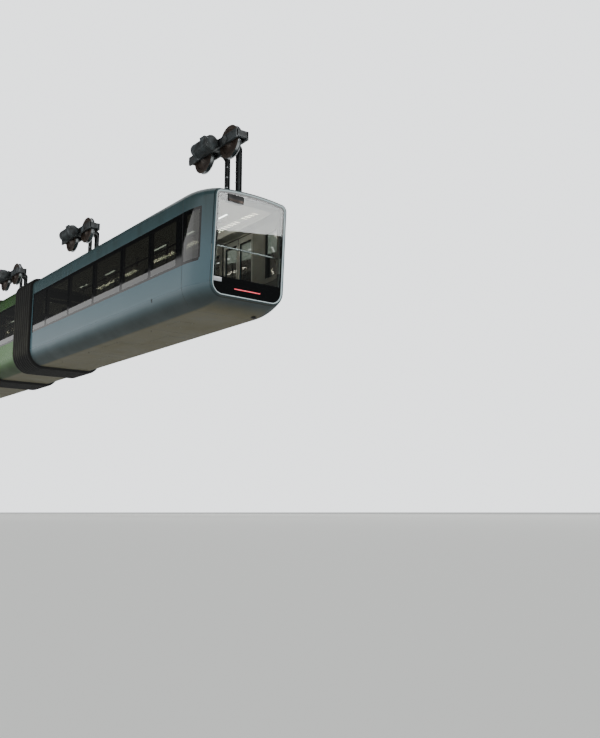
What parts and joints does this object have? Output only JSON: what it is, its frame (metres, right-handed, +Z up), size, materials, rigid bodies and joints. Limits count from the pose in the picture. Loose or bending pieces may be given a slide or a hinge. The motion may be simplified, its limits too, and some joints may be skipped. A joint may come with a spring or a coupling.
{
  "type": "articulated suspended monorail car",
  "caption": "Suspended monorail passenger car of hinged body sections under one overhead rail, with swivelling bogies and free-turning flanged wheels.",
  "frame": {"origin": "on top of the overhead rail, midway along the car, where the flanged wheels roll", "axes": "+X forward along the car, +Y the car's left, +Z up"},
  "size_m": [24.0664, 2.38, 4.45],
  "materials": {
    "blue_paint": "light blue-grey gloss paint",
    "rim_paint": "pale blue gloss paint",
    "green_paint": "green gloss paint",
    "roof_grey": "matt grey paint",
    "dark_glass": "dark tinted flush glass",
    "clear_glass": "clear laminated glass",
    "bellows_rubber": "black coated bellows fabric",
    "bogie_steel": "dark grey painted steel",
    "motor_grey": "grey painted housing",
    "wheel_steel": "steel with a rolled bright tread",
    "rail_steel": "brushed stainless tube",
    "seat_fabric": "woven seat cloth",
    "cab_grey": "dark grey moulded panel",
    "red_lamp": "red lamp strip",
    "white_lamp": "clear lamp strip"
  },
  "bodies": {
    "rear_section": {"rear_body_shell": "blue_paint", "rear_end_module": "blue_paint", "rear_end_rim": "rim_paint", "rear_end_window": "clear_glass", "rear_tail_lamp": "red_lamp", "rear_left_window_band": "dark_glass", "rear_right_window_band_outer": "dark_glass", "rear_right_window_band_middle": "dark_glass", "rear_right_window_band_inner": "dark_glass", "rear_roof_unit": "roof_grey", "rear_double_door_1": "blue_paint", "rear_double_door_1_glass": "dark_glass", "rear_double_door_2": "blue_paint", "rear_double_door_2_glass": "dark_glass", "rear_seats": "seat_fabric", "rear_grab_rail": "rail_steel", "rear_grab_bar": "rail_steel"},
    "middle_section": {"middle_body_shell": "green_paint", "middle_left_window": "dark_glass", "middle_right_window": "dark_glass", "rear_bellows": "bellows_rubber", "front_bellows": "bellows_rubber"},
    "front_section": {"front_body_shell": "blue_paint", "front_end_module": "blue_paint", "front_end_rim": "rim_paint", "front_end_window": "clear_glass", "left_headlamp": "white_lamp", "right_headlamp": "white_lamp", "front_left_window_band": "dark_glass", "front_right_window_band_outer": "dark_glass", "front_right_window_band_middle": "dark_glass", "front_right_window_band_inner": "dark_glass", "front_roof_unit": "roof_grey", "front_double_door_1": "blue_paint", "front_double_door_1_glass": "dark_glass", "front_double_door_2": "blue_paint", "front_double_door_2_glass": "dark_glass", "front_seats": "seat_fabric", "front_grab_rail": "rail_steel", "cab_partition": "cab_grey", "driver_desk": "cab_grey", "driver_seat": "seat_fabric"},
    "bogie_1": {"bogie_1_frame_and_hanger": "bogie_steel", "bogie_1_motor": "motor_grey"},
    "bogie_1_leading_wheel": {"bogie_1_leading_wheel": "wheel_steel"},
    "bogie_1_trailing_wheel": {"bogie_1_trailing_wheel": "wheel_steel"},
    "bogie_2": {"bogie_2_frame_and_hanger": "bogie_steel", "bogie_2_motor": "motor_grey"},
    "bogie_2_leading_wheel": {"bogie_2_leading_wheel": "wheel_steel"},
    "bogie_2_trailing_wheel": {"bogie_2_trailing_wheel": "wheel_steel"},
    "bogie_3": {"bogie_3_frame_and_hanger": "bogie_steel", "bogie_3_motor": "motor_grey"},
    "bogie_3_leading_wheel": {"bogie_3_leading_wheel": "wheel_steel"},
    "bogie_3_trailing_wheel": {"bogie_3_trailing_wheel": "wheel_steel"},
    "bogie_4": {"bogie_4_frame_and_hanger": "bogie_steel", "bogie_4_motor": "motor_grey"},
    "bogie_4_leading_wheel": {"bogie_4_leading_wheel": "wheel_steel"},
    "bogie_4_trailing_wheel": {"bogie_4_trailing_wheel": "wheel_steel"}
  },
  "joints": [
    {"name": "rear_articulation", "type": "hinge", "parent": "rear_section", "child": "middle_section", "pos_m": [-1.64, 0, -3.4], "axis": [0, 0, 1], "range_deg": [-40, 40], "deforming": ["rear_bellows"]},
    {"name": "front_articulation", "type": "hinge", "parent": "middle_section", "child": "front_section", "pos_m": [1.64, 0, -3.4], "axis": [0, 0, 1], "range_deg": [-40, 40], "deforming": ["front_bellows"]},
    {"name": "bogie_1_swivel", "type": "hinge", "parent": "front_section", "child": "bogie_1", "pos_m": [10.6, 0, -0.985], "axis": [0, 0, 1], "range_deg": [-30, 30]},
    {"name": "bogie_2_swivel", "type": "hinge", "parent": "front_section", "child": "bogie_2", "pos_m": [2.95, 0, -0.985], "axis": [0, 0, 1], "range_deg": [-30, 30]},
    {"name": "bogie_3_swivel", "type": "hinge", "parent": "rear_section", "child": "bogie_3", "pos_m": [-2.95, 0, -0.985], "axis": [0, 0, 1], "range_deg": [-30, 30]},
    {"name": "bogie_4_swivel", "type": "hinge", "parent": "rear_section", "child": "bogie_4", "pos_m": [-10.6, 0, -0.985], "axis": [0, 0, 1], "range_deg": [-30, 30]},
    {"name": "bogie_1_leading_wheel_spin", "type": "hinge", "parent": "bogie_1", "child": "bogie_1_leading_wheel", "pos_m": [11.15, 0, 0.35], "axis": [0, 1, 0], "continuous": true},
    {"name": "bogie_1_trailing_wheel_spin", "type": "hinge", "parent": "bogie_1", "child": "bogie_1_trailing_wheel", "pos_m": [10.05, 0, 0.35], "axis": [0, 1, 0], "continuous": true},
    {"name": "bogie_2_leading_wheel_spin", "type": "hinge", "parent": "bogie_2", "child": "bogie_2_leading_wheel", "pos_m": [3.5, 0, 0.35], "axis": [0, 1, 0], "continuous": true},
    {"name": "bogie_2_trailing_wheel_spin", "type": "hinge", "parent": "bogie_2", "child": "bogie_2_trailing_wheel", "pos_m": [2.4, 0, 0.35], "axis": [0, 1, 0], "continuous": true},
    {"name": "bogie_3_leading_wheel_spin", "type": "hinge", "parent": "bogie_3", "child": "bogie_3_leading_wheel", "pos_m": [-2.4, 0, 0.35], "axis": [0, 1, 0], "continuous": true},
    {"name": "bogie_3_trailing_wheel_spin", "type": "hinge", "parent": "bogie_3", "child": "bogie_3_trailing_wheel", "pos_m": [-3.5, 0, 0.35], "axis": [0, 1, 0], "continuous": true},
    {"name": "bogie_4_leading_wheel_spin", "type": "hinge", "parent": "bogie_4", "child": "bogie_4_leading_wheel", "pos_m": [-10.05, 0, 0.35], "axis": [0, 1, 0], "continuous": true},
    {"name": "bogie_4_trailing_wheel_spin", "type": "hinge", "parent": "bogie_4", "child": "bogie_4_trailing_wheel", "pos_m": [-11.15, 0, 0.35], "axis": [0, 1, 0], "continuous": true}
  ]
}
